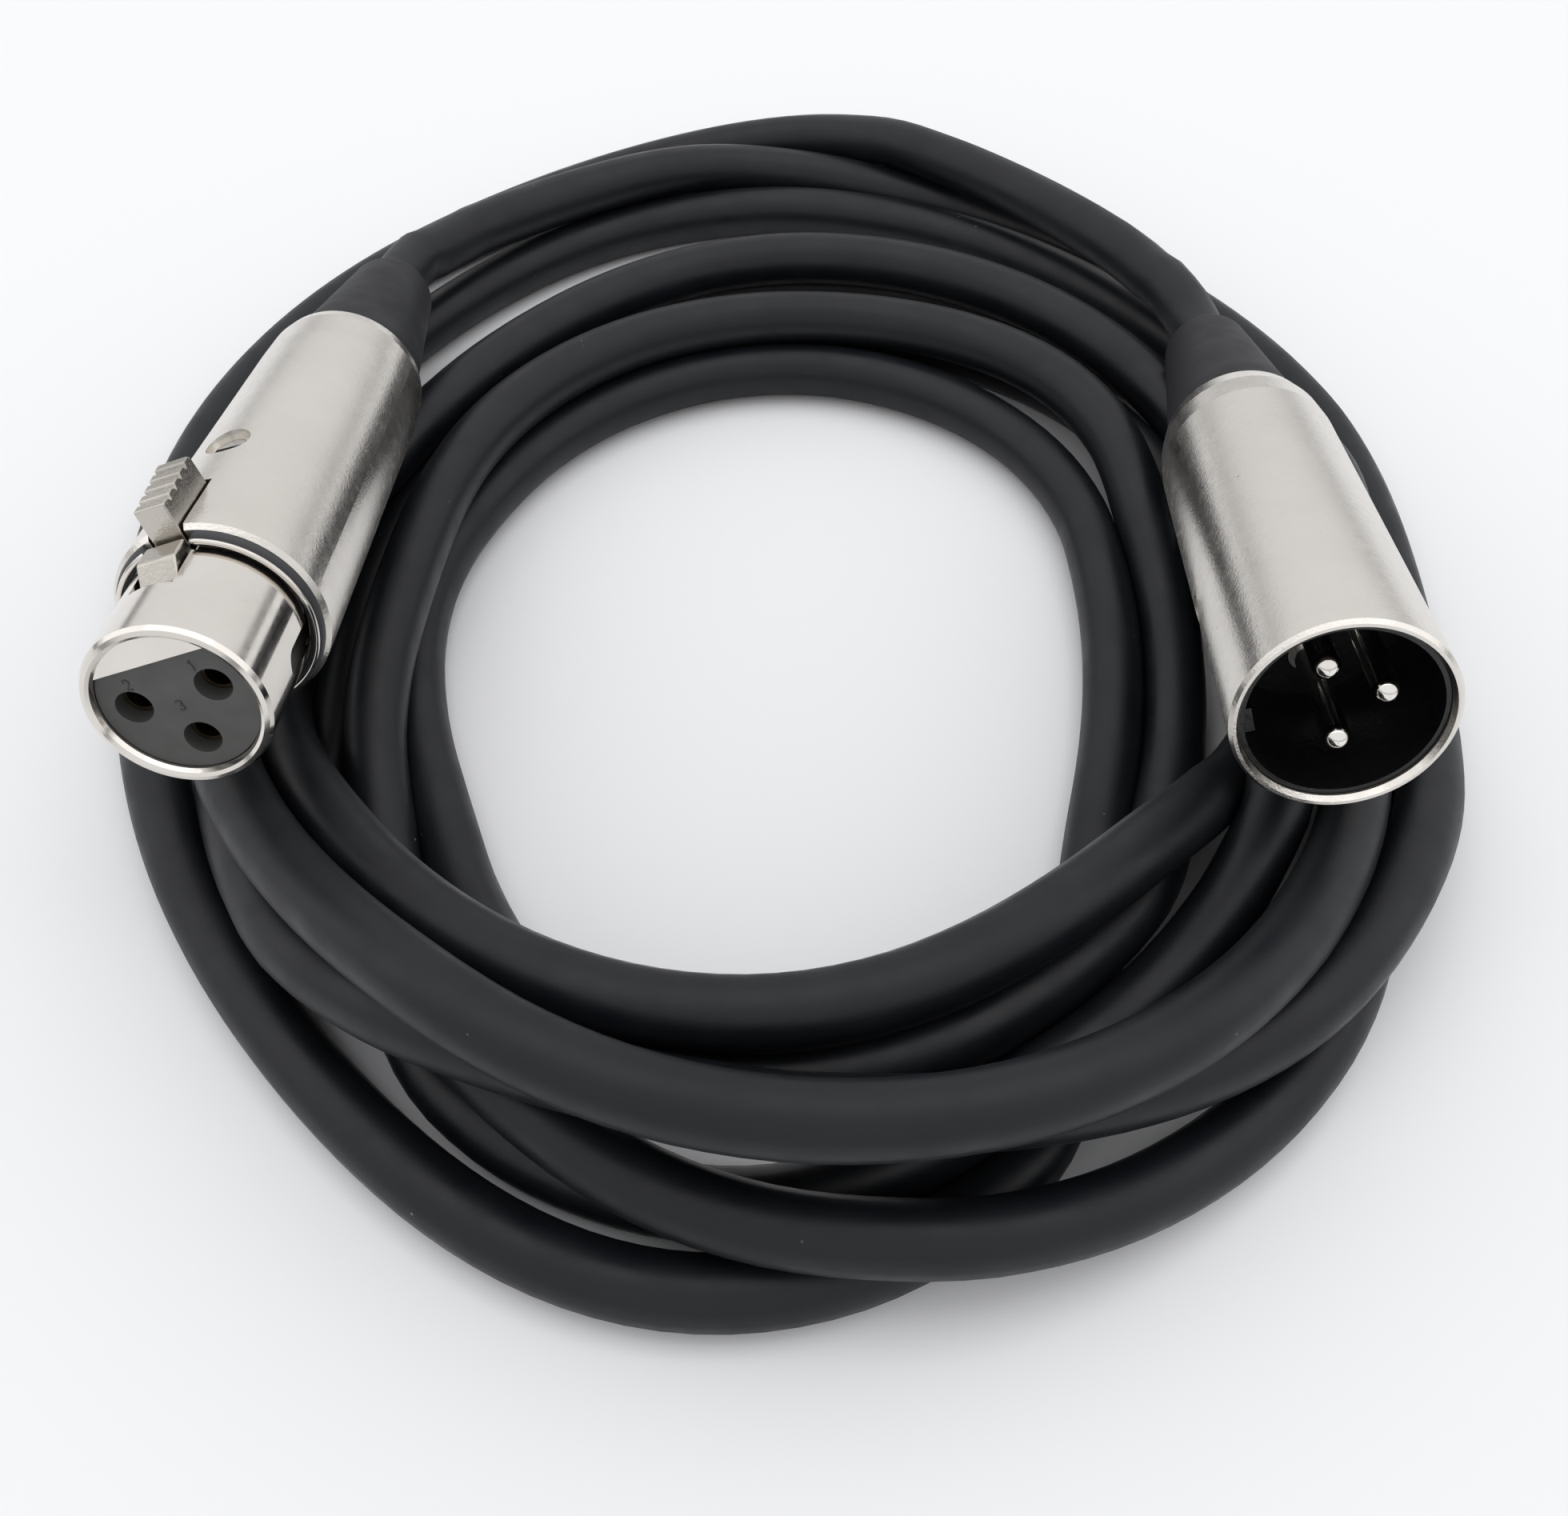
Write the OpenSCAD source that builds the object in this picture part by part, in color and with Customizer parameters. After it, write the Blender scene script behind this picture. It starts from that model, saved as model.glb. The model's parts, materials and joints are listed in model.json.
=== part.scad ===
/* [Cable] */
// Outside diameter of the microphone cable
cable_d = 6.3; // [6:0.1:6.5]
// Diameter of one insulated core
core_d = 1.6; // [1.4:0.1:1.8]
/* [Coil] */
// Width of the oval coil, left to right
coil_w = 140; // [138:1:142]
// Depth of the oval coil, near to far
coil_l = 181; // [179:1:183]
// Height of the coil where it is one or two turns thick
coil_h = 7.5; // [7:0.1:7.6]
// Width of the open middle
opening_w = 64; // [62:1:66]
// Near and far ends of the open middle, as distances in front of and behind the origin
opening_y = [66, 30]; // [20:1:70]
// Height of the piled turns at the near side
pile_h = 25; // [23:0.5:25]
// Height of the piled turns beside the two mouths
pile_side_h = 16.5; // [14:0.5:17]
/* [Connector bodies] */
// Outside diameter of both metal bodies at their front edge
body_d = 19; // [18.8:0.1:19.2]
// Length of the plug's body
male_len = 50; // [49:0.5:51]
// Length of the socket's body and nose together
female_len = 58.7; // [58:0.1:59]
// Length of the boot behind either body
boot_len = 22.5; // [21:0.5:24]
// Diameter of the bore through both bodies
body_bore_d = 14; // [13.8:0.1:14.2]
/* [Plug] */
// Inside diameter of the plug's mouth
mouth_d = 16.3; // [16.2:0.1:16.5]
// Depth of the plug's mouth
mouth_depth = 15; // [14.5:0.5:15.5]
// Diameter of one contact pin
pin_d = 2.39; // [2.36:0.01:2.42]
// How far the contact pins stand out of their insert
pin_out = 13.5; // [13:0.5:14]
/* [Socket] */
// Outside diameter of the socket's nose
nose_d = 15.9; // [15.8:0.1:16]
// Length of nose in front of the metal body
nose_len = 13; // [12.5:0.5:13.5]
// Diameter of the bore in one socket contact
contact_bore_d = 2.5; // [2.45:0.05:2.55]
/* [Latch] */
// Width of the latch lever
latch_w = 3; // [2.8:0.1:3.2]
// Diameter of the latch's pivot pin
pivot_d = 1.2; // [1.1:0.1:1.3]
// Number of ribs on the thumb pad
rib_count = 5; // [4:1:5]
/* [Hidden] */
$fn = 64;
// Gap between pieces that are pushed into each other
slip = 0.05;
// Radial clearance of the pivot pin in its holes
pivot_slip = 0.03;

// Where the two connectors lie: middle of the mouth, turn seen from above,
// upward tilt, and roll of the key or latch from straight up towards -X
male_at = [46.8, -48.1, 27.9];
male_turn = -2.3;
male_tilt = 12.5;
male_roll = 108;
female_at = [-49.4, -48, 28.9];
female_turn = -2.3;
female_tilt = 10.8;
female_roll = 20;

// Route of the free cable behind the plug, from its boot to the coil
male_route = [
    [49.6, 22.7, 12.2], [49.7, 27.6, 11.3], [48.5, 33.5, 11.3], [45.5, 39.5, 12], [41, 46, 12.5],
    [35, 53.5, 12.3], [28.5, 61, 11.5], [21, 68, 10], [12, 75, 8.8]
];
// Route of the free cable behind the socket, from its boot to the coil
female_route = [
    [-46.2, 31.8, 13.7], [-46, 36.7, 12.8], [-44, 43.5, 12], [-40, 50, 11],
    [-34, 56, 10], [-26.5, 61, 9.5], [-18, 64.5, 9.4]
];
route_sides = 12;

// Cross-section of the piled turns: distance from the pile's centre, height
pile_centre = [0, -34];
pile_in = 33;
pile_out = 55.5;
pile_arc = 76;
pile_side_arc = 120;
// Inner and outer edge of the top of the high pile and of the side pile
pile_top = [36, 52];
pile_side_top = [40, 53];

// Radii along the bodies
body_r = body_d / 2;
bore_r = body_bore_d / 2;
mouth_r = mouth_d / 2;
nose_r = nose_d / 2;
cable_r = cable_d / 2;
male_waist_r = 8.85;
male_rear_r = 7.85;
female_waist_r = 8.6;
female_rear_r = 8.1;
rear_round = 6;

// Contact places on the plug's face, with the key up: 1, 2, 3
contact_r = 3.85;
contact_angles = [170, 10, -90];

// Insert and boot details
insert_r = bore_r - slip;
male_insert_len = 8;
liner_r = mouth_r + 0.4;
liner_floor = 1;
nose_wall = 1.15;
nose_bore_r = nose_r - nose_wall;
neck_r = nose_r - 0.35;
neck_bore_r = neck_r + slip;
nose_spigot = 4;
web_y = 4.3;
flat_y = 3.6;
web_len = 2.2;
female_insert_front = -0.9;
female_insert_rear = -32;
contact_wall = 0.35;
pin_root_r = 1.6;
male_cup_len = 5;
contact_front = -2.6;
contact_len = 34;
ring_r = 8.7;
ring_len = 1.2;
ring_edge = 0.3;
boot_front_r = 7.4;
boot_rear_r = 4.8;
gland_in_r = 5.9;
gland_len = 13.1;
screw_r = 1.5;
screw_len = 3.4;
// Recess around each set screw, and how far out its flat floor lies
recess_r = 2.2;
recess_out = 8.4;
male_screw_z = -19;
female_screw_z = -28.9;
female_screw_turn = -4;

// Latch details, in the socket's own axes
pivot_y = 5.75;
pivot_z = -23;
lever_low = 4.6;
lever_bottom = 5.2;
lever_top = 6.5;
lever_front = -8;
lever_rear = -24.4;
hook_w = 3.8;
hook_top = 8.7;
pad_front = -13;
pad_rear = -20.8;
pad_top = 11.8;
window_gap = 0.25;
window_rear = -21.3;
flat_rear = -25.5;
spring_r = 1.1;
spring_wire = 0.3;
spring_turns = 4;
spring_z = -17;

// ---- placing ----

// Turns a piece drawn with its mouth at the origin, +Z out of the mouth and the key
// or latch at +Y, into its place on the coil
module place(at, turn, tilt, roll) {
    translate(at) rotate([0, 0, turn]) rotate([90 - tilt, 0, 0]) rotate([0, 0, roll]) children();
}

module place_male() {
    place(male_at, male_turn, male_tilt, male_roll) children();
}

module place_female() {
    place(female_at, female_turn, female_tilt, female_roll) children();
}

// Round piece drawn as [radius, height] points and turned about the connector's axis
module turned(points) {
    rotate_extrude() polygon(points);
}

// Round bar from z1 down to z0
module bar(r, z0, z1) {
    translate([0, 0, z0]) cylinder(r = r, h = z1 - z0);
}

// Straight rod between two points
module rod(a, b, r) {
    d = b - a;
    len = norm(d);
    translate(a)
        rotate([0, acos(d.z / len), atan2(d.y, d.x)])
            cylinder(r = r, h = len);
}

// ---- cable ----

function unit(v) = v / norm(v);
function route_dir(p, i) = unit(p[min(i + 1, len(p) - 1)] - p[max(i - 1, 0)]);
function ring_side(d) = unit(cross(d, [0, 0, 1]));
function ring_at(p, i, r, n) =
    let (d = route_dir(p, i), u = ring_side(d), v = cross(u, d))
    [for (k = [0 : n - 1]) p[i] + r * (cos(360 * k / n) * u + sin(360 * k / n) * v)];

// Round tube along a list of points
module tube(p, r, n) {
    last = len(p) - 1;
    points = [for (i = [0 : last]) each ring_at(p, i, r, n)];
    sides = [
        for (i = [0 : last - 1], k = [0 : n - 1])
            [i * n + k, i * n + (k + 1) % n, (i + 1) * n + (k + 1) % n, (i + 1) * n + k]
    ];
    start_cap = [[for (k = [n - 1 : -1 : 0]) k]];
    end_cap = [[for (k = [0 : n - 1]) last * n + k]];
    polyhedron(points, concat(start_cap, sides, end_cap));
}

// Upright oval prism with its round ends centred at y0 and y1
module oval(r, y0, y1, h) {
    translate([0, y0, 0]) cylinder(r = r, h = h);
    translate([0, y1, 0]) cylinder(r = r, h = h);
    translate([-r, y0, 0]) cube([2 * r, y1 - y0, h]);
}

// Arc of piled turns at the near side, with its shoulders one turn below the top
module pile(arc, h, top) {
    foot = coil_h - 1;
    shoulder = h - cable_d;
    edge = 2;
    translate(pile_centre)
        rotate([0, 0, -90 - arc / 2])
            rotate_extrude(angle = arc)
                polygon([
                    [pile_in, foot], [pile_in, shoulder], [top.x, h - edge],
                    [top.x + 4 * edge, h], [top.y - edge, h], [top.y, h - edge],
                    [pile_out, foot]
                ]);
}

module cable_coil() {
    r_out = coil_w / 2;
    y_out = (coil_l - coil_w) / 2;
    r_in = opening_w / 2;
    color("#26272b") union() {
        difference() {
            oval(r_out, -y_out, y_out, coil_h);
            translate([0, 0, -1]) oval(r_in, r_in - opening_y[0], opening_y[1] - r_in, coil_h + 2);
        }
        pile(pile_arc, pile_h, pile_top);
        pile(pile_side_arc, pile_side_h, pile_side_top);
    }
}

module male_lead() {
    color("#26272b") tube(male_route, cable_r, route_sides);
}

module female_lead() {
    color("#26272b") tube(female_route, cable_r, route_sides);
}

// ---- pieces that both connectors have ----

// Split collar that grips the cable's jacket
module collet(rear) {
    back = -rear + 7;
    front = back + 9;
    collar_r = 5.6;
    head_len = 2;
    slots = 3;
    slot_w = 1;
    slot_len = 6;
    difference() {
        union() {
            bar(collar_r, back, front);
            bar(bore_r - 0.3, front - head_len, front);
        }
        bar(cable_r + slip, back - 1, front + 1);
        for (i = [0 : slots - 1])
            rotate([0, 0, 360 * i / slots])
                translate([0, -slot_w / 2, back - 1])
                    cube([bore_r + 1, slot_w, slot_len + 1]);
    }
}

// Threaded ring that pushes the collar home and holds the boot
module gland(rear) {
    back = -rear + 0.4;
    front = back + gland_len;
    turned([
        [gland_in_r, back], [bore_r - slip, back], [bore_r - slip, front], [gland_in_r, front]
    ]);
}

// Smooth soft sleeve that keeps the cable from kinking, with a neck inside the ring
module boot(rear) {
    bore = cable_r + slip;
    neck = gland_in_r - slip;
    neck_len = 6;
    end = -rear - boot_len;
    end_round = 0.5;
    turned([
        [bore, end], [boot_rear_r - end_round, end], [boot_rear_r, end + end_round],
        [boot_rear_r, end + 1.5], [boot_front_r, -rear - 1],
        [boot_front_r, -rear - slip], [neck, -rear - slip], [neck, -rear + neck_len],
        [bore, -rear + neck_len]
    ]);
}

// Stripped cable: jacket through the boot and collar, then three cores to the contacts
module cable_end(rear, cup_z, angles) {
    jacket_end = -rear + 16.5;
    fan_r = 1.1;
    fan_end = cup_z - 1;
    core_r = core_d / 2;
    union() {
        bar(cable_r, -rear - boot_len, jacket_end);
        for (a = angles) rotate([0, 0, a]) {
            rod([fan_r, 0, jacket_end - 1], [contact_r, 0, fan_end], core_r);
            translate([contact_r, 0, fan_end]) sphere(r = core_r);
            translate([contact_r, 0, 0]) bar(core_r, fan_end, cup_z + 3.9);
        }
    }
}

// Grub screw with a straight slot, head at +Z
module grub(len) {
    slot_w = 0.5;
    slot_depth = 0.7;
    difference() {
        bar(screw_r, -len, 0);
        translate([-screw_r - 1, -slot_w / 2, -slot_depth])
            cube([2 * screw_r + 2, slot_w, slot_depth + 1]);
    }
}

// Threaded hole and round recess that a body has for its set screw
module screw_cut() {
    bar(screw_r + slip, -4, 0.4);
    bar(recess_r, 0, 3);
}

// ---- plug ----

module male_screw_at() {
    translate([0, recess_out, male_screw_z]) rotate([-90, 0, 0]) children();
}

module male_shell() {
    lip = liner_r + slip;
    floor_z = -mouth_depth - liner_floor - slip;
    color("#b9b7b3") place_male() difference() {
        turned([
            [lip, -0.5], [lip + 0.3, 0], [body_r - 0.3, 0],
            [body_r, -0.4], [body_r, -2], [male_waist_r, -male_len + rear_round],
            [male_waist_r - 0.35, -male_len + 2.6], [male_rear_r, -male_len],
            [bore_r, -male_len], [bore_r, floor_z], [lip, floor_z]
        ]);
        male_screw_at() screw_cut();
    }
}

// Black insulator: a disc that holds the pins and a thin cup that lines the mouth
module male_insert() {
    key_w = 2.4;
    key_h = 1;
    color("#1d1d1f") place_male() difference() {
        union() {
            turned([
                [0, -mouth_depth - male_insert_len], [insert_r, -mouth_depth - male_insert_len],
                [insert_r, -mouth_depth - liner_floor], [liner_r, -mouth_depth - liner_floor],
                [liner_r, -0.8], [mouth_r, -0.8], [mouth_r, -mouth_depth], [0, -mouth_depth]
            ]);
            translate([-key_w / 2, mouth_r - key_h, -mouth_depth])
                cube([key_w, key_h + 0.15, mouth_depth - 2.5]);
        }
        for (a = contact_angles)
            rotate([0, 0, a]) translate([contact_r, 0, 0])
                bar(pin_root_r + 0.02, -mouth_depth - male_insert_len - 1, -mouth_depth + 1);
        male_screw_at() bar(screw_r + 2 * slip, -4, 0);
    }
}

module male_pin() {
    top = -mouth_depth + pin_out;
    r = pin_d / 2;
    cup_r = 1.45;
    cup_front = -mouth_depth - male_insert_len - 0.1;
    difference() {
        union() {
            bar(pin_root_r, cup_front - 1, -mouth_depth);
            bar(r, -mouth_depth, top - r);
            translate([0, 0, top - r]) sphere(r = r);
            bar(cup_r, cup_front - male_cup_len, cup_front);
        }
        bar(core_d / 2 + slip, cup_front - male_cup_len - 1, cup_front - 1);
    }
}

module male_pins() {
    color("#d8d4c8") place_male()
        for (a = contact_angles)
            rotate([0, 0, a]) translate([contact_r, 0, 0]) male_pin();
}

module male_set_screw() {
    color("#8f8d8a") place_male() male_screw_at() grub(screw_len);
}

module male_collet() {
    color("#3a3b3f") place_male() collet(male_len);
}

module male_gland() {
    color("#2b2c30") place_male() gland(male_len);
}

module male_boot() {
    color("#35363a") place_male() boot(male_len);
}

module male_cable_end() {
    color("#26272b") place_male()
        cable_end(male_len, -mouth_depth - male_insert_len - male_cup_len - 0.1, contact_angles);
}

// ---- socket ----

module female_screw_at() {
    rotate([0, 0, female_screw_turn])
        translate([0, recess_out, female_screw_z]) rotate([-90, 0, 0]) children();
}

// Opening that the latch lever moves in, for a piece of the given width
module latch_window(w, z0, z1) {
    half = w / 2 + window_gap;
    translate([-half, 0, z0]) cube([2 * half, 20, z1 - z0]);
}

module female_shell() {
    front = -nose_len;
    color("#bdbab5") place_female() difference() {
        turned([
            [neck_bore_r, front], [body_r - 0.4, front], [body_r, front - 0.5], [body_r, front - 2],
            [female_waist_r, -female_len + rear_round], [female_waist_r - 0.2, -female_len + 1.5],
            [female_rear_r, -female_len], [bore_r, -female_len],
            [bore_r, front - nose_spigot], [neck_bore_r, front - nose_spigot]
        ]);
        latch_window(latch_w, window_rear, front + 1);
        translate([0, pivot_y, pivot_z]) rotate([0, 90, 0])
            bar(pivot_d / 2 + pivot_slip, -5.9, 5.9);
        female_screw_at() screw_cut();
    }
}

module female_ring() {
    color("#c9c8c5") place_female() difference() {
        turned([
            [neck_bore_r, -nose_len], [ring_r, -nose_len], [ring_r, -nose_len + ring_len - ring_edge],
            [ring_r - ring_edge, -nose_len + ring_len], [neck_bore_r, -nose_len + ring_len]
        ]);
        latch_window(hook_w, -nose_len - 1, -nose_len + ring_len + 1);
    }
}

module female_nose() {
    slot_angle = -112;
    slot_w = 2.6;
    slot_z = -7.55;
    slot_depth = 5;
    rear = -nose_len - nose_spigot + slip;
    neck_z = -nose_len + ring_len + 0.1;
    color("#c8c7c4") place_female() difference() {
        union() {
            turned([
                [nose_bore_r, rear], [neck_r, rear], [neck_r, neck_z], [nose_r, neck_z],
                [nose_r, -0.6], [nose_r - 0.25, -0.15],
                [nose_r - 0.65, 0], [nose_bore_r + 0.2, -0.2], [nose_bore_r, -0.6]
            ]);
            intersection() {
                bar(nose_bore_r + 0.2, -web_len, -0.6);
                translate([-8, web_y, -web_len - 1]) cube([16, 8, web_len + 1]);
            }
        }
        latch_window(hook_w, rear - 1, lever_front + 1.2);
        rotate([0, 0, slot_angle]) {
            translate([-slot_w / 2, slot_depth, rear - 1]) cube([slot_w, slot_depth, slot_z - rear + 1]);
            translate([0, slot_depth, slot_z]) rotate([-90, 0, 0]) cylinder(d = slot_w, h = slot_depth);
        }
    }
}

// Grey insulator with a flat that leaves room for the latch
module female_insert() {
    tube_r = contact_bore_d / 2 + contact_wall;
    step_z = -nose_len - nose_spigot - slip;
    color("#6d6f73") place_female() difference() {
        union() {
            bar(nose_bore_r - slip, step_z - 1, female_insert_front);
            bar(insert_r, female_insert_rear, step_z);
        }
        translate([-8, web_y - slip, -web_len - 1]) cube([16, 8, 4]);
        translate([-8, flat_y, flat_rear]) cube([16, 8, -web_len - 0.5 - flat_rear]);
        for (a = contact_angles) {
            rotate([0, 0, 180 - a]) translate([contact_r, 0, 0]) {
                bar(tube_r + slip, female_insert_rear - 1, -2.5);
                bar(1.6, -3, 1);
            }
        }
        female_screw_at() bar(screw_r + 2 * slip, -4, 0);
    }
}

// Socket contact: a tube for the pin in front and a solder cup behind
module female_contact() {
    front = contact_front;
    tube_r = contact_bore_d / 2 + contact_wall;
    back = front - contact_len;
    difference() {
        bar(tube_r, back, front);
        bar(contact_bore_d / 2, front - 14, front + 1);
        bar(core_d / 2 + slip, back - 1, back + 4);
    }
}

module female_contacts() {
    color("#d9d2b8") place_female()
        for (a = contact_angles)
            rotate([0, 0, 180 - a]) translate([contact_r, 0, 0]) female_contact();
}

// Lever with its hook in front and a ribbed thumb pad that stands out of the window
module female_latch() {
    half = latch_w / 2;
    rib_pitch = (pad_front - pad_rear) / rib_count;
    rib_step = 0.45;
    rib_rise = 0.12;
    color("#77767a") place_female() difference() {
        union() {
            translate([-half, 0, 0]) rotate([90, 0, 90]) linear_extrude(latch_w)
                polygon([
                    [lever_low, lever_rear], [lever_top, lever_rear], [lever_top, lever_front],
                    [lever_bottom, lever_front], [lever_bottom, -19], [lever_low, -21.5]
                ]);
            translate([-hook_w / 2, 0, 0]) rotate([90, 0, 90]) linear_extrude(hook_w)
                polygon([
                    [lever_bottom + 0.6, -12.6], [hook_top, -12.2], [hook_top, -9.6],
                    [lever_top + 0.6, lever_front], [lever_bottom + 0.6, lever_front]
                ]);
            // Each rib rises towards the rear and ends in a small step
            translate([-half, 0, 0]) rotate([90, 0, 90]) linear_extrude(latch_w)
                polygon(concat(
                    [[lever_top - 0.5, pad_rear], [lever_top - 0.5, pad_front + 0.2]],
                    [for (i = [0 : rib_count - 1], j = [0, 1])
                        [pad_top + rib_rise * i - rib_step * j, pad_front - rib_pitch * (i + 0.9 * j)]]
                ));
        }
        translate([0, pivot_y, pivot_z]) rotate([0, 90, 0])
            bar(pivot_d / 2 + pivot_slip, -half - 1, half + 1);
    }
}

module latch_pivot() {
    color("#a7a7a9") place_female() translate([0, pivot_y, pivot_z]) rotate([0, 90, 0])
        bar(pivot_d / 2, -5.8, 5.8);
}

// Small pressure spring under the lever, drawn as stacked rings joined by a thin post
module latch_spring() {
    room = lever_bottom - flat_y - 0.04;
    pitch = (room - spring_wire) / (spring_turns - 1);
    color("#b0b0b2") place_female() translate([0, flat_y + 0.02, spring_z]) rotate([-90, 0, 0]) {
        for (i = [0 : spring_turns - 1])
            translate([0, 0, spring_wire / 2 + pitch * i])
                rotate_extrude() translate([spring_r, 0]) circle(d = spring_wire, $fn = 24);
        translate([spring_r, 0, spring_wire / 2])
            cylinder(d = spring_wire * 0.8, h = pitch * (spring_turns - 1));
    }
}

module female_set_screw() {
    color("#8f8d8a") place_female() female_screw_at() grub(screw_len);
}

module female_collet() {
    color("#3a3b3f") place_female() collet(female_len);
}

module female_gland() {
    color("#2b2c30") place_female() gland(female_len);
}

module female_boot() {
    color("#35363a") place_female() boot(female_len);
}

module female_cable_end() {
    color("#26272b") place_female()
        cable_end(female_len, contact_front - contact_len, [for (a = contact_angles) 180 - a]);
}

cable_coil();
male_lead();
female_lead();
female_shell();
female_nose();
female_ring();
female_insert();
female_contacts();
female_latch();
latch_pivot();
latch_spring();
female_set_screw();
female_collet();
female_gland();
female_boot();
female_cable_end();
male_shell();
male_insert();
male_pins();
male_set_screw();
male_collet();
male_gland();
male_boot();
male_cable_end();
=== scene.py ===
"""Looks of a coiled microphone cable with its plug and socket, in the CAD model's own frame."""

import json
import math

import bmesh
import bpy
import numpy as np
from mathutils import Matrix, Vector


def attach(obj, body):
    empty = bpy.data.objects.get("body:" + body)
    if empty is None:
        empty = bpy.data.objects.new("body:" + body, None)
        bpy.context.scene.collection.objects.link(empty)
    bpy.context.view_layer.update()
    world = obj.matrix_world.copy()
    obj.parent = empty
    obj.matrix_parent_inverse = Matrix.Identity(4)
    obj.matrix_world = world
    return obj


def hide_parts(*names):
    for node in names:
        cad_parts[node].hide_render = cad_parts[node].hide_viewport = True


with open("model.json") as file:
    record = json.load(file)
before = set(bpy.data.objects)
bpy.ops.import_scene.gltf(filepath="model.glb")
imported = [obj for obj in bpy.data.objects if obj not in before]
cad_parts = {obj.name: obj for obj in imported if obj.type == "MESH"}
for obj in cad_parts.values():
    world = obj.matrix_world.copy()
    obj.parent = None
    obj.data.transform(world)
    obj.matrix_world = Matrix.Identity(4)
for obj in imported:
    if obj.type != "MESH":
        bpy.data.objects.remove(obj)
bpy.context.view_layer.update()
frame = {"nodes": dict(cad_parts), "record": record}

MM = 0.001

# Camera: where it stands, the point on the table that it looks at, and its lens
CAMERA_AT = Vector((0.5, -139.5, 131.7)) * MM
CAMERA_AIM = Vector((0.5, -29.0, 0.0)) * MM
CAMERA_LENS = 38.57
SENSOR_WIDTH = 36.0
NEAREST_SEEN = 0.005

# Cable and the boots that it comes out of, in millimetres
CABLE_D = 6.3
CABLE_R = CABLE_D / 2
BOOT_LEN = 22.5

# Connectors, in millimetres: length from mouth to boot, where the full body begins, how far the
# socket's nose mount lies behind its mouth, and radii at the mouth, body, boot and boot's end
MALE_LEN = 50.0
FEMALE_LEN = 58.7
BODY_START = 14
NOSE_MOUNT_DEPTH = 6
MALE_RADII = (9.5, 9.5, 7.9, 4.4)
FEMALE_RADII = (8, 9.5, 8.1, 4.4)

# Free cable behind the plug and behind the socket, from each boot to the coil, in millimetres
MALE_ROUTE = [
    (49.6, 22.7, 12.2), (49.7, 27.6, 11.3), (48.5, 33.5, 11.3), (45.5, 39.5, 12), (41, 46, 12.5),
    (35, 53.5, 12.3), (28.5, 61, 11.5), (21, 68, 10), (12, 75, 8.8),
]
FEMALE_ROUTE = [
    (-46.2, 31.8, 13.7), (-46, 36.7, 12.8), (-44, 43.5, 12), (-40, 50, 11),
    (-34, 56, 10), (-26.5, 61, 9.5), (-18, 64.5, 9.4),
]

# The coil's turns, seen from above. Each starts at the far side and runs over the left. A row has
# the turn's distances from the coil's centre in millimetres and its layers in the pile, at the
# far side, far left, left, near left, near side, near right, right and far right
COIL_CENTRE = (0.0, -19.0)
FAR_SIDE = 90
STATION_TURN = 45
STEPS_BETWEEN = 4
LAYER_RISE = 5.4
TURNS = [
    ((101, 84, 66, 62, 68, 44, 35, 45), (0.5, 0, 0, 0, 0, 0, 0, 0)),
    ((51, 45, 39, 42, 55, 45, 41, 53), (0, 0, 0, 0, 2, 1, 0, 1)),
    ((54, 46, 38, 53, 61, 52, 45, 56), (1, 1, 1, 0.5, 0, 1, 1, 0)),
    ((58, 50, 45, 51, 65, 66, 60, 65), (0, 0, 0, 1, 1, 0, 0, 0)),
    ((67, 57, 51, 49, 52, 45, 53, 62), (0, 0, 0, 2, 3, 2, 0, 1)),
    ((66, 55, 54, 55, 62, 61, 58, 73), (1, 1, 1, 2.5, 3.5, 2, 1, 0)),
    ((87, 71, 58, 56, 58, 63, 65, 80), (0, 0, 0, 1.5, 2.5, 1.5, 0, 0)),
]
COIL_END = (92, 0.5)

# How the cable settles: spacing of its points, passes, and strength of each pull
POINT_GAP = 2.5
ROUTE_STEPS = 12
SETTLE_PASSES = 600
BEND_PULL = 0.045
BEND_REACHES = (1, 2, 4)
ANCHOR_PULL = 0.05
WEIGHT = 0.05

# Strands that press on each other: how often they are looked for, how near they are, how long a
# stretch of cable counts as one strand, and how many times and how briskly they are parted
NEAR_EVERY = 10
NEAR_REACH = 1.5 * CABLE_D
ONE_STRAND = 4 * CABLE_D
PARTINGS = 2
PARTING_HASTE = 1.4
SMALLEST = 0.01

# Cable held by the two boots: the lengths held, and how free it is at the start and end of each
HELD_AT_PLUG = 58
HELD_AT_SOCKET = 46
FREEDOM_AT_BOOT = -0.3
FREEDOM_AT_COIL = 0.8
MOUTH_MARGIN = 1
BOOT_END_MARGIN = 6


# ---- camera ----


def make_camera():
    data = bpy.data.cameras.new("camera")
    data.lens = CAMERA_LENS
    data.sensor_width = SENSOR_WIDTH
    data.clip_start = NEAREST_SEEN
    camera = bpy.data.objects.new("camera", data)
    camera.location = CAMERA_AT
    camera.rotation_euler = (CAMERA_AIM - CAMERA_AT).to_track_quat("-Z", "Y").to_euler()
    bpy.context.scene.collection.objects.link(camera)
    bpy.context.scene.camera = camera


# ---- places of the two connectors ----


def mount(name):
    return next(m for m in frame["record"]["mounts"] if m["name"] == name)


def connector_frame(mouth, depth, lowest_contact):
    """Matrix of a connector: origin in the middle of its mouth, +Z out of it, +Y at the key or latch."""
    out = Vector(mount(mouth)["axis"]).normalized()
    origin = Vector(mount(mouth)["pos_m"]) + out * depth
    down = Vector(mount(lowest_contact)["pos_m"]) - origin
    key = -(down - out * down.dot(out)).normalized()
    side = key.cross(out)
    rows = [[side[i], key[i], out[i], origin[i]] for i in range(3)]
    return Matrix(rows + [[0, 0, 0, 1]])


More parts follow.
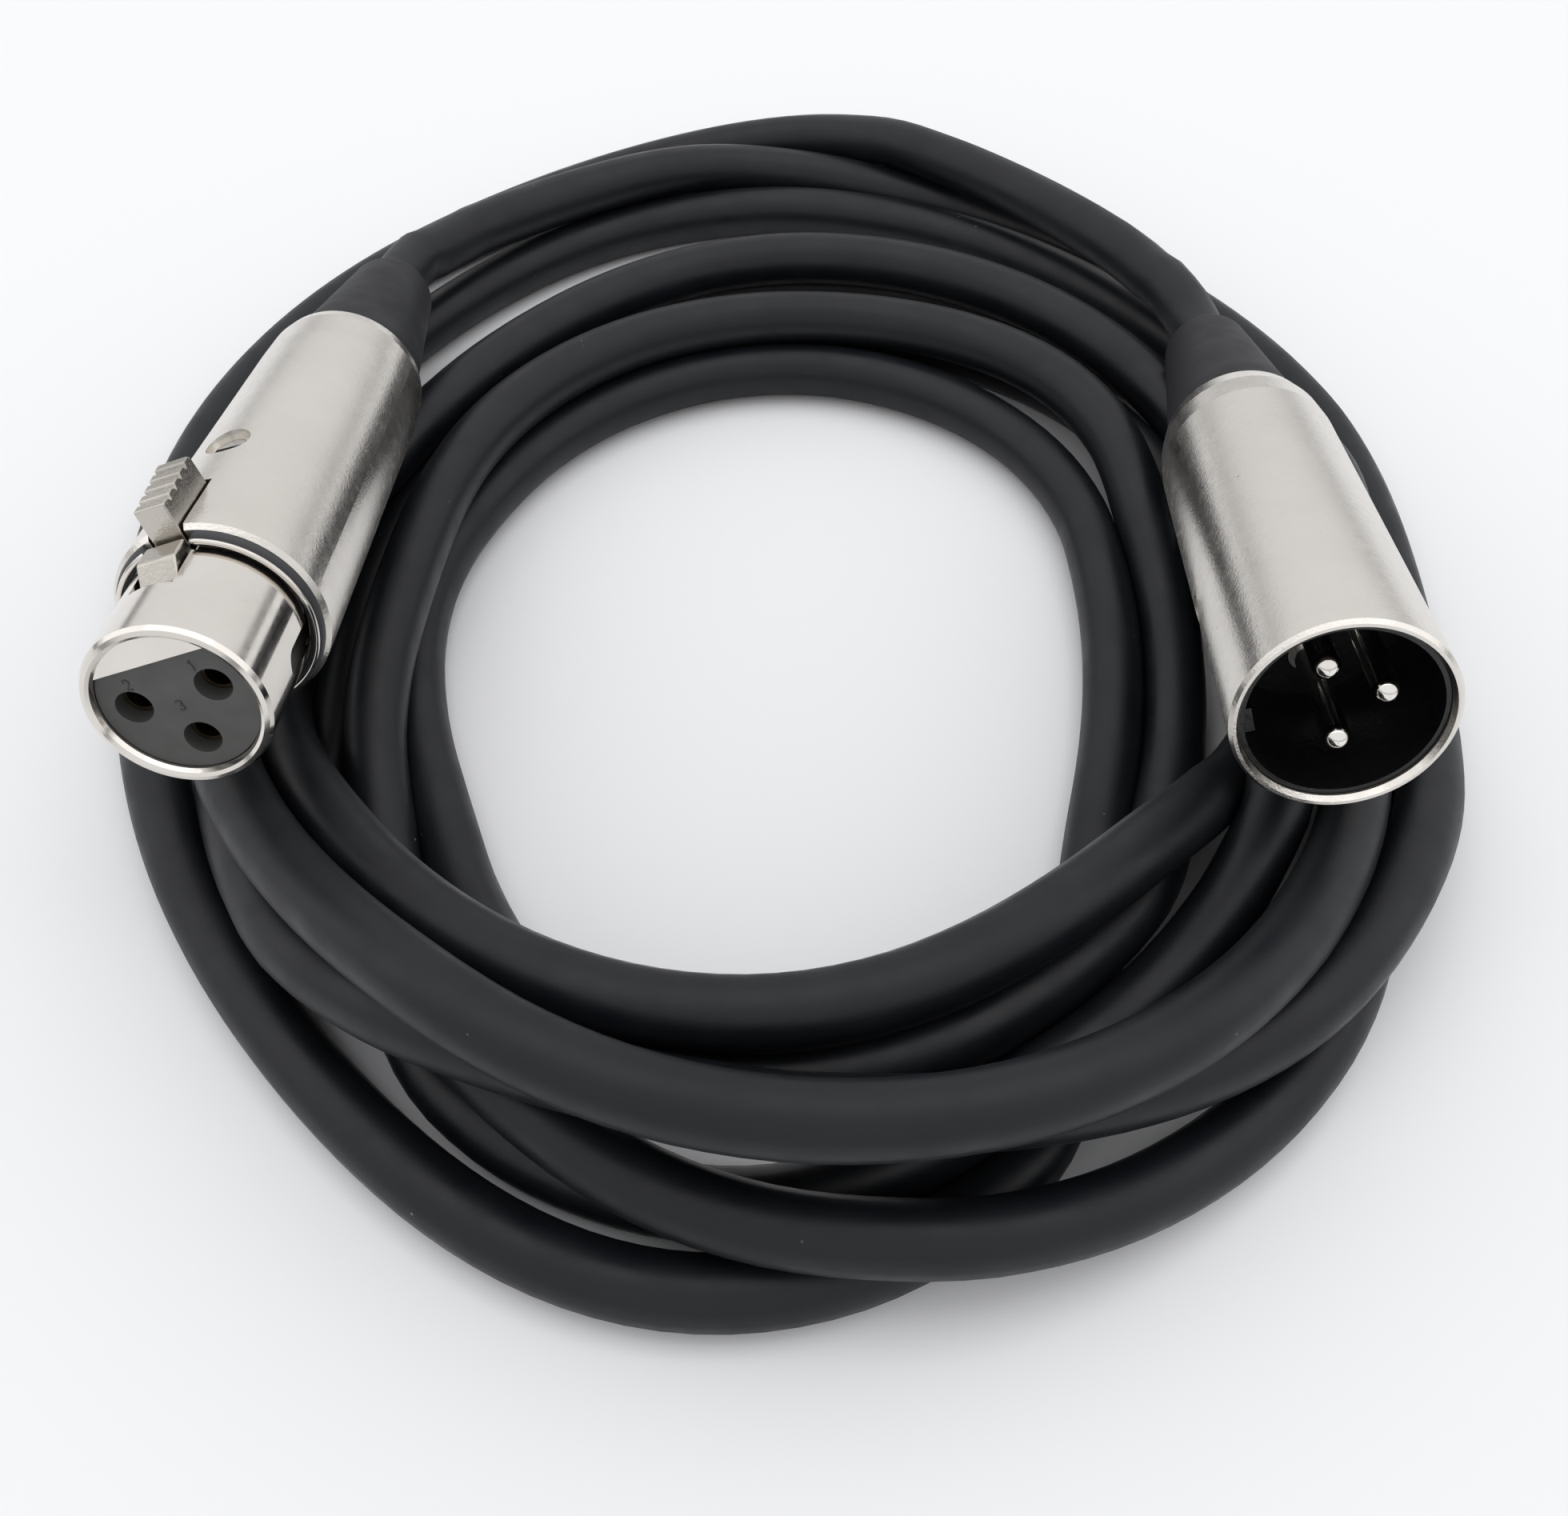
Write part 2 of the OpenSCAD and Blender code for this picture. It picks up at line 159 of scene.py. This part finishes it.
MALE = connector_frame("plug_mouth", 0, "contact_pin_3")
FEMALE = connector_frame("socket_nose", NOSE_MOUNT_DEPTH * MM, "contact_socket_3")


# ---- cable ----


def through(points, count):
    """Smooth line through the points, with count steps from each one to the next."""
    p = np.array(points, float)
    p = np.vstack([2 * p[0] - p[1], p, 2 * p[-1] - p[-2]])
    steps = np.linspace(0, 1, count, endpoint=False)[:, None]
    line = []
    for a, b, c, d in zip(p, p[1:], p[2:], p[3:]):
        line.append(
            b
            + 0.5 * steps * (c - a)
            + steps**2 * (a - 2.5 * b + 2 * c - 0.5 * d)
            + steps**3 * (1.5 * (b - c) + 0.5 * (d - a))
        )
    return np.vstack(line + [p[-2:-1]])


def rounded_path(points, gap):
    """Smooth line through the points, with a point every gap, as an array."""
    return evenly(through(points, ROUTE_STEPS), gap)


def evenly(line, gap):
    """The same line with its points an equal distance apart, near the given gap."""
    walked = np.concatenate([[0], np.cumsum(np.linalg.norm(np.diff(line, axis=0), axis=1))])
    count = max(2, round(walked[-1] / gap) + 1)
    wanted = np.linspace(0, walked[-1], count)
    return np.stack([np.interp(wanted, walked, line[:, k]) for k in range(3)], axis=1)


def coil_stations():
    """Angle, distance and height of the cable at every compass station of every turn."""
    stations = [place for turn in TURNS for place in zip(*turn)] + [COIL_END]
    return [
        (FAR_SIDE + STATION_TURN * count, distance, CABLE_R + LAYER_RISE * layer)
        for count, (distance, layer) in enumerate(stations)
    ]


def coil_points():
    """The turns as one list of points, eased from each station to the next."""
    points = []
    for angle, distance, height in through(coil_stations(), STEPS_BETWEEN):
        a = math.radians(angle)
        points.append(
            (
                COIL_CENTRE[0] + distance * math.cos(a),
                COIL_CENTRE[1] + distance * math.sin(a),
                height,
            )
        )
    return points


def near_pairs(p, reach, apart):
    """Pairs of points closer than reach, leaving out those that follow each other on the cable."""
    square = (p * p).sum(1)
    gap2 = square[:, None] + square[None, :] - 2 * p @ p.T
    i, j = np.nonzero(np.triu(gap2 < reach * reach, apart))
    return i, j


def bodies_in_the_way():
    """Mouth, axis, lengths and radii of each connector, which the cable stays out of."""
    shapes = []
    for at, length, radii in ((MALE, MALE_LEN, MALE_RADII), (FEMALE, FEMALE_LEN, FEMALE_RADII)):
        origin = np.array(at.translation) / MM
        back = -np.array([at[i][2] for i in range(3)])
        stations = (0, BODY_START, length, length + BOOT_LEN)
        shapes.append((origin, back, stations, radii))
    return shapes


def push_out(p, shapes):
    """Moves points that lie in a connector out to its surface."""
    for origin, back, stations, radii in shapes:
        along = (p - origin) @ back
        foot = origin + along[:, None] * back
        away = p - foot
        distance = np.linalg.norm(away, axis=1)
        wanted = np.interp(along, stations, radii) + CABLE_R
        beside = (along > -MOUTH_MARGIN) & (along < stations[-1] - BOOT_END_MARGIN)
        inside = beside & (distance < wanted)
        away[inside] *= (wanted[inside] / np.maximum(distance[inside], SMALLEST) - 1)[:, None]
        p[inside] += away[inside]


def curving(p, reach):
    """How far each point lies from the middle of the points that are reach steps away."""
    bend = np.zeros_like(p)
    bend[reach:-reach] = p[2 * reach:] + p[:-2 * reach] - 2 * p[reach:-reach]
    return bend


def loose_part(count):
    """The points beyond the stretches that the two boots hold."""
    return slice(round(HELD_AT_PLUG / POINT_GAP), count - round(HELD_AT_SOCKET / POINT_GAP))


def freedom(count):
    """How freely each point moves: not at all by the boots, and fully in the coil."""
    loose = loose_part(count)
    free = np.ones(count)
    free[:loose.start] = np.linspace(FREEDOM_AT_BOOT, FREEDOM_AT_COIL, loose.start)
    free[loose.stop:] = np.linspace(FREEDOM_AT_COIL, FREEDOM_AT_BOOT, count - loose.stop)
    return np.maximum(free, 0)[:, None]


def press_apart(p, i, j, free):
    """Moves points of different strands away from each other where they lie within a diameter."""
    between = p[i] - p[j]
    distance = np.linalg.norm(between, axis=1)
    close = distance < CABLE_D
    a, b, gap = i[close], j[close], distance[close]
    push = between[close] * (0.5 * (CABLE_D - gap) / np.maximum(gap, SMALLEST))[:, None]
    total = np.zeros_like(p)
    times = np.zeros(len(p))
    np.add.at(total, a, push)
    np.add.at(total, b, -push)
    np.add.at(times, a, 1)
    np.add.at(times, b, 1)
    p += free * total / np.maximum(times, 1)[:, None] * PARTING_HASTE


def settled(anchor):
    """The cable nearly at rest, pulled by its weight, its stiffness, its lanes and its neighbours."""
    p = anchor.copy()
    loose = loose_part(len(p))
    free = freedom(len(p))
    shapes = bodies_in_the_way()
    for step in range(SETTLE_PASSES):
        if step % NEAR_EVERY == 0:
            i, j = near_pairs(p, NEAR_REACH, round(ONE_STRAND / POINT_GAP))
        move = ANCHOR_PULL * (anchor - p)
        move[:, 2] -= WEIGHT
        for reach in BEND_REACHES:
            move -= BEND_PULL * curving(curving(p, reach), reach)
        p += move * free
        for _ in range(PARTINGS):
            press_apart(p, i, j, free)
        push_out(p[loose], shapes)
        p[:, 2] = np.maximum(p[:, 2], CABLE_R)
    return p


def cable_line():
    """The cable's middle from the plug's boot to the socket's, in millimetres."""
    points = MALE_ROUTE + coil_points() + FEMALE_ROUTE[::-1]
    return evenly(settled(rounded_path(points, POINT_GAP)), POINT_GAP)


def make_cable(line):
    """Round cable along the line, from boot to boot.

    Its bevel is 1 m and each point's radius is the real one, so that its box is true."""
    curve = bpy.data.curves.new("microphone_cable", "CURVE")
    curve.dimensions = "3D"
    curve.bevel_depth = 1
    curve.bevel_resolution = 6
    spline = curve.splines.new("POLY")
    spline.points.add(len(line) - 1)
    for point, place in zip(spline.points, line):
        point.co = (*(place * MM), 1)
        point.radius = CABLE_R * MM
    spline.use_smooth = True
    cable = bpy.data.objects.new("microphone_cable", curve)
    bpy.context.scene.collection.objects.link(cable)
    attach(cable, "cable")
    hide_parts("cable_coil", "male_lead", "female_lead")
    return cable


# ---- looks ----


class Look:
    """A material with one Principled shader, and short ways to add and join its nodes."""

    def __init__(self, name, colour, roughness, metallic=0.0):
        self.material = bpy.data.materials.new(name)
        self.material.use_nodes = True
        self.nodes = self.material.node_tree.nodes
        self.links = self.material.node_tree.links
        self.shader = self.nodes["Principled BSDF"]
        self.place = self.nodes.new("ShaderNodeTexCoord").outputs["Object"]
        self.shader.inputs["Base Color"].default_value = (*colour, 1)
        self.shader.inputs["Roughness"].default_value = roughness
        self.shader.inputs["Metallic"].default_value = metallic

    def noise(self, scale, detail=3.0, roughness=0.55):
        node = self.nodes.new("ShaderNodeTexNoise")
        node.inputs["Scale"].default_value = scale
        node.inputs["Detail"].default_value = detail
        node.inputs["Roughness"].default_value = roughness
        self.links.new(self.place, node.inputs["Vector"])
        return node.outputs["Fac"]

    def dots(self, scale):
        """Distance from scattered points."""
        node = self.nodes.new("ShaderNodeTexVoronoi")
        node.inputs["Scale"].default_value = scale
        self.links.new(self.place, node.inputs["Vector"])
        return node.outputs["Distance"]

    def ramp(self, value, *stops):
        """Colours, or greys given as one number, at positions along the value."""
        node = self.nodes.new("ShaderNodeValToRGB")
        elements = node.color_ramp.elements
        while len(elements) < len(stops):
            elements.new(0.5)
        for element, (position, colour) in zip(elements, stops):
            element.position = position
            shade = colour if isinstance(colour, tuple) else (colour, colour, colour)
            element.color = (*shade, 1)
        self.links.new(value, node.inputs["Fac"])
        return node.outputs["Color"]

    def mix(self, factor, a, b, kind="MIX"):
        node = self.nodes.new("ShaderNodeMix")
        node.data_type = "RGBA"
        node.blend_type = kind
        for socket, value in ((node.inputs[0], factor), (node.inputs[6], a), (node.inputs[7], b)):
            if isinstance(value, (tuple, float)):
                socket.default_value = (*value, 1) if isinstance(value, tuple) else value
            else:
                self.links.new(value, socket)
        return node.outputs[2]

    def colour(self, value):
        self.links.new(value, self.shader.inputs["Base Color"])

    def roughness(self, value, low, high):
        self.links.new(self.ramp(value, (0.3, low), (0.7, high)), self.shader.inputs["Roughness"])

    def bump(self, *layers):
        """Each layer is a height, how strongly it shows and how deep it is in millimetres."""
        last = None
        for height, strength, depth in layers:
            node = self.nodes.new("ShaderNodeBump")
            node.inputs["Strength"].default_value = strength
            node.inputs["Distance"].default_value = depth * MM
            self.links.new(height, node.inputs["Height"])
            if last is not None:
                self.links.new(last, node.inputs["Normal"])
            last = node.outputs["Normal"]
        self.links.new(last, self.shader.inputs["Normal"])


DUST_COLOUR = (0.16, 0.17, 0.18)
JACKET_SHINE = 0.36


def jacket_look(name, dark, light, gloss):
    """Soft black plastic with a fine grain, patches of shine and a little dust."""
    look = Look(name, dark, gloss)
    patches = look.ramp(look.noise(70, 4), (0.35, dark), (0.7, light))
    specks = look.ramp(look.dots(420), (0.035, 1.0), (0.07, 0.0))
    few = look.ramp(look.noise(160, 2), (0.6, 0.0), (0.68, 1.0))
    look.colour(look.mix(look.mix(1.0, specks, few, "MULTIPLY"), patches, DUST_COLOUR))
    look.roughness(look.noise(240, 4), gloss - 0.06, gloss + 0.08)
    look.bump((look.noise(2600, 3), 0.25, 0.02), (look.noise(300, 2), 0.2, 0.06))
    look.shader.inputs["Specular IOR Level"].default_value = JACKET_SHINE
    return look.material


def metal_look(name, dark, light, gloss, grain, pits):
    """Plated metal with a fine grain in its plating and a few small pits."""
    look = Look(name, light, gloss, 1.0)
    stains = look.ramp(look.noise(60, 5, 0.6), (0.3, dark), (0.6, light))
    pit = look.ramp(look.dots(700), (0.06, 1.0), (0.13, 0.0))
    some = look.ramp(look.noise(160, 2), (0.62, 0.0), (0.68, pits))
    pitted = look.mix(1.0, pit, some, "MULTIPLY")
    look.colour(look.mix(pitted, stains, tuple(0.5 * c for c in dark)))
    look.roughness(look.noise(900, 4), gloss - 0.03, gloss + 0.04)
    look.bump((look.noise(3200, 2, 0.6), 0.5, grain), (pitted, -0.4 * pits, 0.04))
    return look.material


def plain_look(name, dark, light, gloss, metallic=0.0, grain=0.02):
    """Plain plastic or metal, a little uneven in colour and shine, with a fine grain."""
    look = Look(name, dark, gloss, metallic)
    look.colour(look.ramp(look.noise(220, 4), (0.35, dark), (0.7, light)))
    look.roughness(look.noise(600, 3), gloss - 0.05, gloss + 0.08)
    look.bump((look.noise(1800, 3), 0.3, grain))
    return look.material


# Looks by the record's material slots: dark and light colour, roughness, then what each kind adds
LOOKS = {
    "cable_jacket": jacket_look(
        "black_jacket", (0.0036, 0.0044, 0.0062), (0.0062, 0.0075, 0.0102), 0.44
    ),
    "boot_rubber": jacket_look(
        "soft_rubber", (0.0088, 0.0092, 0.011), (0.0125, 0.013, 0.0155), 0.6
    ),
    "satin_nickel": metal_look(
        "satin_nickel", (0.69, 0.66, 0.615), (0.735, 0.705, 0.66), 0.24, grain=0.04, pits=0.9
    ),
    "polished_nickel": metal_look(
        "polished_nickel", (0.69, 0.655, 0.61), (0.76, 0.725, 0.68), 0.12, grain=0.004, pits=0.2
    ),
    "grey_insulator": plain_look(
        "grey_insulator", (0.058, 0.057, 0.055), (0.08, 0.079, 0.077), 0.55
    ),
    "black_insulator": plain_look(
        "black_insulator", (0.003, 0.003, 0.0034), (0.006, 0.006, 0.0068), 0.3, grain=0.16
    ),
    "gold_contact": plain_look(
        "gold_contact", (0.1, 0.08, 0.05), (0.14, 0.11, 0.07), 0.4, metallic=1.0, grain=0.01
    ),
    "pin_silver": plain_look(
        "pin_silver", (0.8, 0.77, 0.72), (0.88, 0.86, 0.82), 0.1, metallic=1.0, grain=0.006
    ),
    "latch_steel": metal_look(
        "latch_steel", (0.4, 0.375, 0.34), (0.56, 0.53, 0.48), 0.22, grain=0.05, pits=1.0
    ),
    "steel": plain_look("steel", (0.5, 0.5, 0.49), (0.65, 0.64, 0.62), 0.25, metallic=1.0),
    "dark_plastic": plain_look(
        "dark_plastic", (0.03, 0.031, 0.034), (0.045, 0.046, 0.05), 0.45
    ),
}


def dress(piece, slot):
    """Gives a piece the one look of its material slot."""
    piece.data.materials.clear()
    piece.data.materials.append(LOOKS[slot])


def node_slots():
    """Material slot of every CAD node, from the record."""
    return {part["node"]: part["material_slot"] for part in frame["record"]["subparts"]}


# ---- pieces made here ----


def new_piece(name, mesh_or_curve, body, slot):
    piece = bpy.data.objects.new(name, mesh_or_curve)
    bpy.context.scene.collection.objects.link(piece)
    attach(piece, body)
    dress(piece, slot)
    return piece


def turned_piece(name, profile, at, body, slot, sides=128, gap=0.0):
    """Ring drawn as (radius, height) points in millimetres and turned about a connector's axis.

    A gap leaves the ring open by that many degrees on each side of the latch."""
    form = bmesh.new()
    sweep = math.radians(360 - 2 * gap)
    start = math.radians(90 + gap)
    rings = []
    for side in range(sides + 1 if gap else sides):
        a = start + sweep * side / sides
        across = Vector((math.cos(a), math.sin(a), 0))
        places = [across * r + Vector((0, 0, z)) for r, z in profile]
        rings.append([form.verts.new(at @ (place * MM)) for place in places])
    joined = list(zip(rings, rings[1:]))
    if gap:
        form.faces.new(rings[0])
        form.faces.new(rings[-1])
    else:
        joined.append((rings[-1], rings[0]))
    for ring, following in joined:
        for k in range(len(profile)):
            n = (k + 1) % len(profile)
            form.faces.new((ring[k], following[k], following[n], ring[n]))
    bmesh.ops.recalc_face_normals(form, faces=form.faces)
    mesh = bpy.data.meshes.new(name)
    form.to_mesh(mesh)
    form.free()
    mesh.polygons.foreach_set("use_smooth", [True] * len(mesh.polygons))
    return new_piece(name, mesh, body, slot)


def rounded_profile(points, gap=0.25):
    """Corners of a closed outline cut back a little twice, so that they turn softly."""
    outline = [Vector(p) for p in points]
    for share in (0.5, 0.25):
        cut = []
        for a, b in zip(outline, outline[1:] + outline[:1]):
            back = min(gap * share / max((b - a).length, 1e-6) * 2, 0.3)
            cut += [a.lerp(b, back), b.lerp(a, back)]
        outline = cut
    return [tuple(p) for p in outline]


# Outline of a boot as (radius, distance) points in millimetres: the tapered back is measured from
# the boot's rear end, and the front, with its spigot, from its front end
BOOT_BACK = [
    (3.2, 0.2), (3.5, 0), (4.4, 0), (4.75, 0.4), (4.85, 1.5),
    (5.3, 5), (5.9, 10), (6.5, 15), (7.1, 19.5),
]
BOOT_FRONT = [(7.38, -0.5), (7.3, -0.06), (5.8, -0.06), (5.8, 6), (3.2, 6)]


def make_boot(name, at, length, node):
    """Rubber boot behind a connector of the given length, in place of the plain one."""
    front = -length
    rear = front - BOOT_LEN
    outline = [(r, rear + z) for r, z in BOOT_BACK] + [(r, front + z) for r, z in BOOT_FRONT]
    boot = turned_piece(name, rounded_profile(outline), at, "cable", "boot_rubber")
    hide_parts(node)


def stroke_piece(name, strokes, at, thickness, body, slot):
    """Thin raised lines on a connector's face, from lists of points in millimetres."""
    curve = bpy.data.curves.new(name, "CURVE")
    curve.dimensions = "3D"
    curve.bevel_depth = 1
    curve.bevel_resolution = 2
    curve.use_fill_caps = True
    for points in strokes:
        spline = curve.splines.new("POLY")
        spline.points.add(len(points) - 1)
        for point, place in zip(spline.points, points):
            point.co = (*(at @ (Vector(place) * MM)), 1)
            point.radius = thickness * MM / 2
    return new_piece(name, curve, body, slot)


def prism(name, outline, half, at, body, slot, soften=0.12):
    """Bar across the latch: an outline of (y, z) points in millimetres with softened edges."""
    form = bmesh.new()
    left = [form.verts.new(at @ (Vector((-half, y, z)) * MM)) for y, z in outline]
    right = [form.verts.new(at @ (Vector((half, y, z)) * MM)) for y, z in outline]
    form.faces.new(left)
    form.faces.new(right)
    for k in range(len(outline)):
        n = (k + 1) % len(outline)
        form.faces.new((left[k], left[n], right[n], right[k]))
    bmesh.ops.recalc_face_normals(form, faces=form.faces)
    mesh = bpy.data.meshes.new(name)
    form.to_mesh(mesh)
    form.free()
    piece = new_piece(name, mesh, body, slot)
    bevel = piece.modifiers.new("soft_edges", "BEVEL")
    bevel.width = soften * MM
    bevel.segments = 3
    bevel.limit_method = "ANGLE"
    bevel.harden_normals = True
    return piece


# The latch in the socket's own axes, in millimetres, with outlines as (y, z) points
LATCH_HALF = 1.5
HOOK_HALF = 1.9
LEVER = [(4.6, -24.4), (6.5, -24.4), (6.5, -8), (5.2, -8), (5.2, -19), (4.6, -21.5)]
HOOK = [(5.8, -12.6), (8.7, -12.2), (8.7, -9.6), (7.1, -8), (5.8, -8)]
PAD_BASE = [(6, -20.8), (6, -12.8)]
PAD_FRONT = -13.0
PAD_TOP = 11.75
RIBS = 5
RIB_PITCH = 1.56
RIB_RISE = 0.12
RIB_SWELL = 0.03
RIB_DROP = 0.34
RIB_CREST_SHARE = 0.62
RIB_GROOVE_SHARE = 0.9
HOOK_SOFTEN = 0.25
PAD_SOFTEN = 0.16


def make_latch():
    """Lever, hook and ribbed thumb pad, which move together."""
    pad = list(PAD_BASE)
    for rib in range(RIBS):
        z = PAD_FRONT - RIB_PITCH * rib
        top = PAD_TOP + RIB_RISE * rib
        crest = (top + RIB_SWELL, z - RIB_PITCH * RIB_CREST_SHARE)
        groove = (top - RIB_DROP, z - RIB_PITCH * RIB_GROOVE_SHARE)
        pad += [(top, z), crest, groove]
    lever = prism("latch_lever", LEVER, LATCH_HALF, FEMALE, "latch", "latch_steel")
    prism("latch_hook", HOOK, HOOK_HALF, FEMALE, "latch", "latch_steel", HOOK_SOFTEN)
    prism("latch_pad", pad, LATCH_HALF, FEMALE, "latch", "latch_steel", PAD_SOFTEN)
    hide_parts("female_latch")


# Front of the socket's body: a dark seat with a thin bright bead in it, as (radius, height)
# points in millimetres, both open by an angle in degrees on each side of the latch
COLLAR_GAP = 15.5
COLLAR_SEAT = [(7.97, -12.95), (9.1, -12.95), (9.1, -12.85), (8.75, -12.3), (7.97, -12.3)]
COLLAR_BEAD = [(8.45, -12.3), (8.75, -12.25), (8.85, -12), (8.75, -11.8), (8.5, -11.75), (8.3, -11.9)]


def make_collar():
    """Bead and seat in front of the socket's body, in place of the plain ring."""
    outline = rounded_profile(COLLAR_BEAD)
    bead = turned_piece(
        "socket_collar_bead", outline, FEMALE, "cable", "polished_nickel", gap=COLLAR_GAP
    )
    turned_piece("socket_collar_seat", COLLAR_SEAT, FEMALE, "cable", "dark_plastic", gap=COLLAR_GAP)
    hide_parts("female_ring")


# Contact numbers, each drawn in a box 1 wide and 2 high around its middle
DIGITS = {
    1: [(-0.3, 0.6), (0.05, 1), (0.05, -1)],
    2: [(-0.5, 0.6), (-0.3, 0.95), (0.2, 1), (0.5, 0.65), (0.4, 0.15), (-0.5, -1), (0.5, -1)],
    3: [
        (-0.5, 0.8), (0, 1), (0.45, 0.75), (0.4, 0.25), (0, 0.05),
        (0.45, -0.25), (0.45, -0.8), (0, -1), (-0.5, -0.75),
    ],
}
DIGIT_PLACES = {1: (3.1, 2.9), 2: (-3.1, 2.8), 3: (0, -0.35)}
DIGIT_SIZE = 0.5
DIGIT_STROKE = 0.18
FACE_Z = -0.89


def make_digits():
    """The raised contact numbers on the face of the socket's insert."""
    strokes = []
    for number, (x, y) in DIGIT_PLACES.items():
        strokes.append([(x + DIGIT_SIZE * u, y + DIGIT_SIZE * v, FACE_Z) for u, v in DIGITS[number]])
    stroke_piece("contact_numbers", strokes, FEMALE, DIGIT_STROKE, "cable", "dark_plastic")


# ---- floor and lights ----

FLOOR_SIZE = 3.0
FLOOR_COLOUR = (0.86, 0.865, 0.875)
FLOOR_ROUGHNESS = 0.6

# Greys of the surroundings by height, from the horizon up, and their strength
SKY_STOPS = [(0.0, 0.3), (0.05, 0.35), (0.14, 0.8), (0.45, 0.85), (1.0, 0.85)]
SKY_STRENGTH = 1.08
SKY_BLUE = 1.01

# Lights: name, place and aim in metres, width and length in metres, and power in watts
LIGHTS = [
    ("ceiling", (0.0, 0.15, 0.9), (0, 0, 0), (1.1, 0.8), 1.6),
    ("left_side", (-0.75, 0.05, 0.6), (0, -0.02, 0), (0.5, 0.9), 0.6),
    ("right_side", (0.75, 0.05, 0.6), (0, -0.02, 0), (0.5, 0.9), 0.6),
]


def make_floor():
    form = bmesh.new()
    bmesh.ops.create_grid(form, x_segments=2, y_segments=2, size=FLOOR_SIZE / 2)
    mesh = bpy.data.meshes.new("floor")
    form.to_mesh(mesh)
    form.free()
    floor = bpy.data.objects.new("floor", mesh)
    bpy.context.scene.collection.objects.link(floor)
    look = Look("white_table", FLOOR_COLOUR, FLOOR_ROUGHNESS)
    mesh.materials.append(look.material)


def make_light(name, place, aim, size, power):
    data = bpy.data.lights.new(name, "AREA")
    data.shape = "RECTANGLE"
    data.size, data.size_y = size
    data.energy = power
    light = bpy.data.objects.new(name, data)
    light.location = place
    light.rotation_euler = (Vector(aim) - Vector(place)).to_track_quat("-Z", "Y").to_euler()
    bpy.context.scene.collection.objects.link(light)


def make_sky():
    """Pale surroundings: a dim band above the table's horizon under a bright ceiling."""
    world = bpy.data.worlds.new("studio")
    world.use_nodes = True
    nodes, links = world.node_tree.nodes, world.node_tree.links
    background = nodes["Background"]
    direction = nodes.new("ShaderNodeTexCoord").outputs["Generated"]
    split = nodes.new("ShaderNodeSeparateXYZ")
    ramp = nodes.new("ShaderNodeValToRGB")
    ramp.color_ramp.interpolation = "EASE"
    elements = ramp.color_ramp.elements
    while len(elements) < len(SKY_STOPS):
        elements.new(0.5)
    for element, (position, grey) in zip(elements, SKY_STOPS):
        element.position = position
        element.color = (grey, grey, grey * SKY_BLUE, 1)
    links.new(direction, split.inputs[0])
    links.new(split.outputs["Z"], ramp.inputs["Fac"])
    links.new(ramp.outputs["Color"], background.inputs["Color"])
    background.inputs["Strength"].default_value = SKY_STRENGTH
    bpy.context.scene.world = world


# ---- the scene ----

make_camera()
cable = make_cable(cable_line())
dress(cable, "cable_jacket")
make_boot("plug_boot", MALE, MALE_LEN, "male_boot")
make_boot("socket_boot", FEMALE, FEMALE_LEN, "female_boot")
make_digits()
make_latch()
make_collar()
for node, slot in node_slots().items():
    dress(frame["nodes"][node], slot)
make_floor()
for light in LIGHTS:
    make_light(*light)
make_sky()
bpy.context.scene.view_settings.view_transform = "Standard"
